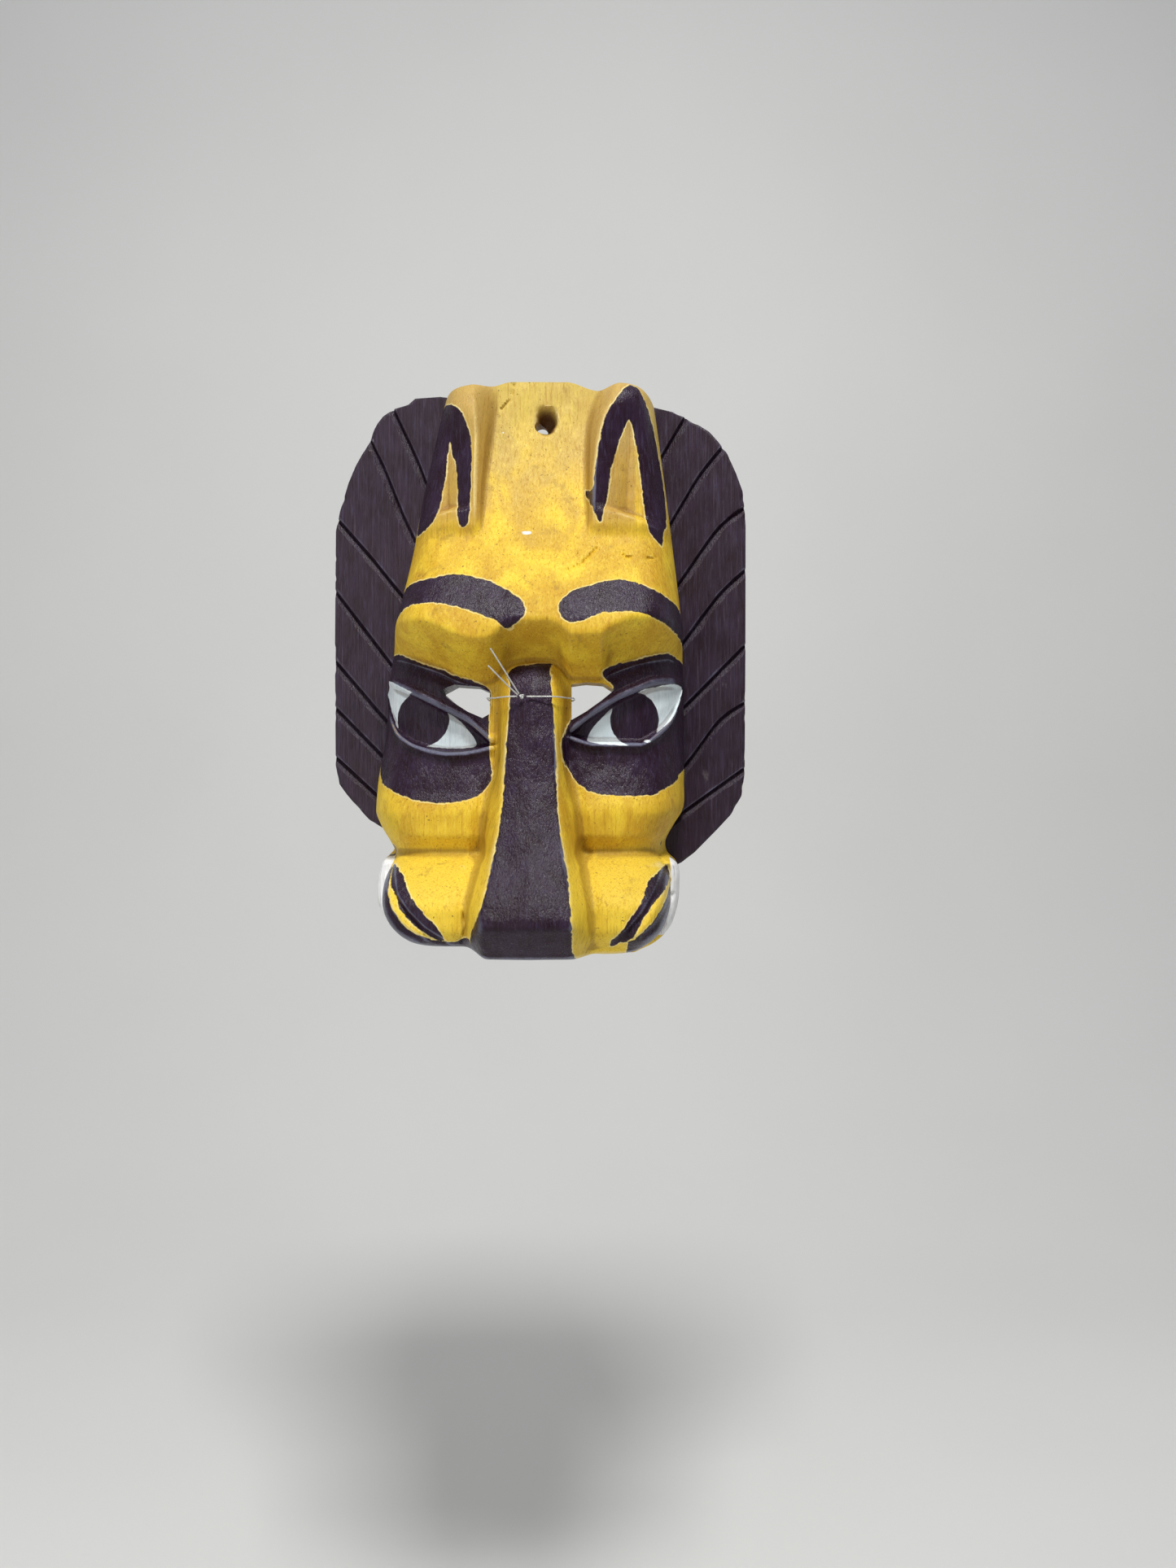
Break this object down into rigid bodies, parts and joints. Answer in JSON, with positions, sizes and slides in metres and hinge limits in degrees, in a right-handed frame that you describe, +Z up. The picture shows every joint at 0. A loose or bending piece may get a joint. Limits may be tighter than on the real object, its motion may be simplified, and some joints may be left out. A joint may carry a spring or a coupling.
{
  "type": "carved wooden mask",
  "caption": "Carved and painted wooden animal mask with a hollow back, raised ears, eye slits, long nose, wide muzzle and flat grooved mane boards; it hangs on a wall.",
  "frame": {"origin": "axis of the hanging hole where it meets the wall plane at the back of the mask", "axes": "+Y out of the back toward the wall, -Y the way the face looks, +Z up, +X to a viewer's right"},
  "size_m": [0.2071, 0.1164, 0.2735],
  "materials": {
    "yellow_wood": "hand-painted yellow over carved wood, satin, with dark paint areas",
    "dark_wood": "hand-painted near-black purple, satin, worn on the cut edges",
    "steel": "plain wire nail, slightly rusted",
    "nylon": "clear nylon line"
  },
  "bodies": {
    "root": {"face_block": "yellow_wood", "mane_left": "dark_wood", "mane_right": "dark_wood", "nail_left_top": "steel", "nail_left_middle": "steel", "nail_left_foot": "steel", "nail_right_top": "steel", "nail_right_middle": "steel", "nail_right_foot": "steel", "tie_loop": "nylon", "tie_knot": "nylon", "tie_tail_long": "nylon", "tie_tail_short": "nylon"}
  },
  "joints": []
}
